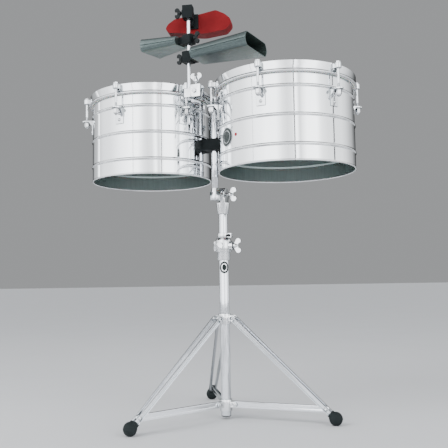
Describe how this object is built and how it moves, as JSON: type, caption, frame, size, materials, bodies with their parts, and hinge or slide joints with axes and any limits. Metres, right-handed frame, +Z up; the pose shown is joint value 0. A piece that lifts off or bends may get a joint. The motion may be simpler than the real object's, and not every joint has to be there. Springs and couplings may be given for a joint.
{
  "type": "timbales",
  "caption": "Pair of deep metal drums on a folding tripod stand, with bells and a plastic block on a clamp rod.",
  "frame": {"origin": "on the floor, at the middle of the bounding box; the stand tube axis is 7.45 mm from it, at x = -0.00745", "axes": "+Z up along the stand tube, +X from the small drum to the large drum, -Y towards the side that carries the bells"},
  "size_m": [0.8098, 0.5906, 1.166],
  "materials": {
    "tube_chrome": "mirror",
    "cast_chrome": "polished casting",
    "leg_chrome": "polished sheet",
    "fastener_steel": "plated",
    "shell_steel": "mirror-polished stainless",
    "hoop_steel": "plated",
    "film": "satin film",
    "rubber": "moulded",
    "nylon": "satin",
    "bell_steel": "brushed, lacquered",
    "black_paint": "black powder coat",
    "block_plastic": "semi-gloss red",
    "badge": "plain, no lettering"
  },
  "bodies": {
    "stand": {"lower_tube": "tube_chrome", "lower_hub": "cast_chrome", "hub_pins": "fastener_steel", "height_clamp": "cast_chrome", "clamp_bush": "nylon", "tube_badge": "badge"},
    "collar": {"upper_collar": "cast_chrome", "collar_pins": "fastener_steel"},
    "height_knob": {"height_wing_bolt": "fastener_steel"},
    "mast": {"upper_tube": "tube_chrome", "memory_lock": "cast_chrome", "memory_screw": "black_paint", "tilter_base": "cast_chrome"},
    "tilt_knob": {"tilter_wing_bolt": "fastener_steel"},
    "drums": {"tilter_head": "cast_chrome", "post": "tube_chrome", "cross_bracket": "black_paint", "bracket_bolts": "fastener_steel", "bell_arm": "cast_chrome", "rod_block": "cast_chrome", "block_screw": "fastener_steel", "small_shell": "shell_steel", "small_head": "film", "small_hoop": "hoop_steel", "small_rods": "fastener_steel", "small_nuts": "fastener_steel", "small_lugs": "hoop_steel", "small_lug_bolts": "fastener_steel", "large_shell": "shell_steel", "large_head": "film", "large_hoop": "hoop_steel", "large_rods": "fastener_steel", "large_nuts": "fastener_steel", "large_lugs": "hoop_steel", "large_lug_bolts": "fastener_steel", "drum_badge": "badge"},
    "block_knob": {"block_wing_bolt": "fastener_steel"},
    "accessory_rod": {"bell_rod": "tube_chrome"},
    "large_bell_set": {"large_bell": "bell_steel", "large_bell_clamp": "black_paint"},
    "large_bell_knob": {"large_bell_screw": "black_paint"},
    "small_bell_set": {"small_bell": "bell_steel", "small_bell_clamp": "black_paint"},
    "small_bell_knob": {"small_bell_screw": "black_paint"},
    "plastic_set": {"plastic_block": "block_plastic", "plastic_clamp": "black_paint"},
    "plastic_knob": {"plastic_screw": "black_paint"},
    "brace_arm_1": {"brace_1": "leg_chrome", "rivet_1": "fastener_steel"},
    "leg_arm_1": {"leg_1": "leg_chrome", "foot_1": "rubber"},
    "brace_arm_2": {"brace_2": "leg_chrome", "rivet_2": "fastener_steel"},
    "leg_arm_2": {"leg_2": "leg_chrome", "foot_2": "rubber"},
    "brace_arm_3": {"brace_3": "leg_chrome", "rivet_3": "fastener_steel"},
    "leg_arm_3": {"leg_3": "leg_chrome", "foot_3": "rubber"}
  },
  "joints": [
    {"name": "fold_brace_1", "type": "hinge", "parent": "stand", "child": "brace_arm_1", "pos_m": [0.01955, 0, 0.042], "axis": [0, 1, 0], "range_deg": [0, 78]},
    {"name": "fold_brace_2", "type": "hinge", "parent": "stand", "child": "brace_arm_2", "pos_m": [-0.02095, 0.02338, 0.042], "axis": [-0.866, -0.5, 0], "range_deg": [0, 78]},
    {"name": "fold_brace_3", "type": "hinge", "parent": "stand", "child": "brace_arm_3", "pos_m": [-0.02095, -0.02338, 0.042], "axis": [0.866, -0.5, 0], "range_deg": [0, 78]},
    {"name": "fold_leg_1", "type": "hinge", "parent": "brace_arm_1", "child": "leg_arm_1", "pos_m": [0.28555, 0, 0.042], "axis": [0, 1, 0], "range_deg": [-39.49, 0]},
    {"name": "fold_leg_2", "type": "hinge", "parent": "brace_arm_2", "child": "leg_arm_2", "pos_m": [-0.15395, 0.25374, 0.042], "axis": [-0.866, -0.5, 0], "range_deg": [-39.49, 0]},
    {"name": "fold_leg_3", "type": "hinge", "parent": "brace_arm_3", "child": "leg_arm_3", "pos_m": [-0.15395, -0.25374, 0.042], "axis": [0.866, -0.5, 0], "range_deg": [-39.49, 0]},
    {"name": "fold_collar", "type": "slide", "parent": "stand", "child": "collar", "axis": [0, 0, 1], "range_m": [-0.1483, 0]},
    {"name": "height_screw_turn", "type": "hinge", "parent": "stand", "child": "height_knob", "pos_m": [0.01255, 0, 0.498], "axis": [1, 0, 0], "range_deg": [-180, 180]},
    {"name": "height_slide", "type": "slide", "parent": "stand", "child": "mast", "axis": [0, 0, 1], "range_m": [0, 0.15]},
    {"name": "tilt", "type": "hinge", "parent": "mast", "child": "drums", "pos_m": [-0.00745, 0, 0.65], "axis": [1, 0, 0], "range_deg": [-40, 18]},
    {"name": "tilt_screw_turn", "type": "hinge", "parent": "drums", "child": "tilt_knob", "pos_m": [0.01055, 0, 0.65], "axis": [1, 0, 0], "range_deg": [-180, 180]},
    {"name": "block_screw_turn", "type": "hinge", "parent": "drums", "child": "block_knob", "pos_m": [-0.01245, -0.173, 0.945], "axis": [0, 0, 1], "range_deg": [-180, 180]},
    {"name": "rod_slide", "type": "slide", "parent": "drums", "child": "accessory_rod", "axis": [0, 0, 1], "range_m": [-0.02, 0.012]},
    {"name": "large_bell_swing", "type": "hinge", "parent": "accessory_rod", "child": "large_bell_set", "pos_m": [-0.03445, -0.172, 1.019], "axis": [0, 0, 1], "range_deg": [-20, 20]},
    {"name": "large_bell_screw_turn", "type": "hinge", "parent": "large_bell_set", "child": "large_bell_knob", "pos_m": [-0.05425, -0.16922, 1.0187], "axis": [0.9903, -0.1392, 0], "range_deg": [-180, 180]},
    {"name": "small_bell_swing", "type": "hinge", "parent": "accessory_rod", "child": "small_bell_set", "pos_m": [-0.03445, -0.172, 1.069], "axis": [0, 0, 1], "range_deg": [-3, 25]},
    {"name": "small_bell_screw_turn", "type": "hinge", "parent": "small_bell_set", "child": "small_bell_knob", "pos_m": [-0.01532, -0.17785, 1.069], "axis": [0.9563, -0.2924, 0], "range_deg": [-180, 180]},
    {"name": "plastic_block_swing", "type": "hinge", "parent": "accessory_rod", "child": "plastic_set", "pos_m": [-0.03445, -0.172, 1.148], "axis": [0, 0, 1], "range_deg": [-15, 5]},
    {"name": "plastic_screw_turn", "type": "hinge", "parent": "plastic_set", "child": "plastic_knob", "pos_m": [-0.05401, -0.17616, 1.148], "axis": [0.9781, 0.2079, 0], "range_deg": [-180, 180]}
  ],
  "couplings": [
    {"joint": "fold_brace_2", "follows": "fold_brace_1", "ratio": 1},
    {"joint": "fold_brace_3", "follows": "fold_brace_1", "ratio": 1},
    {"joint": "fold_leg_1", "follows": "fold_brace_1", "ratio": -0.50568},
    {"joint": "fold_leg_2", "follows": "fold_brace_1", "ratio": -0.50568},
    {"joint": "fold_leg_3", "follows": "fold_brace_1", "ratio": -0.50568},
    {"joint": "fold_collar", "follows": "fold_brace_1", "m_per_rad": -0.10857}
  ]
}
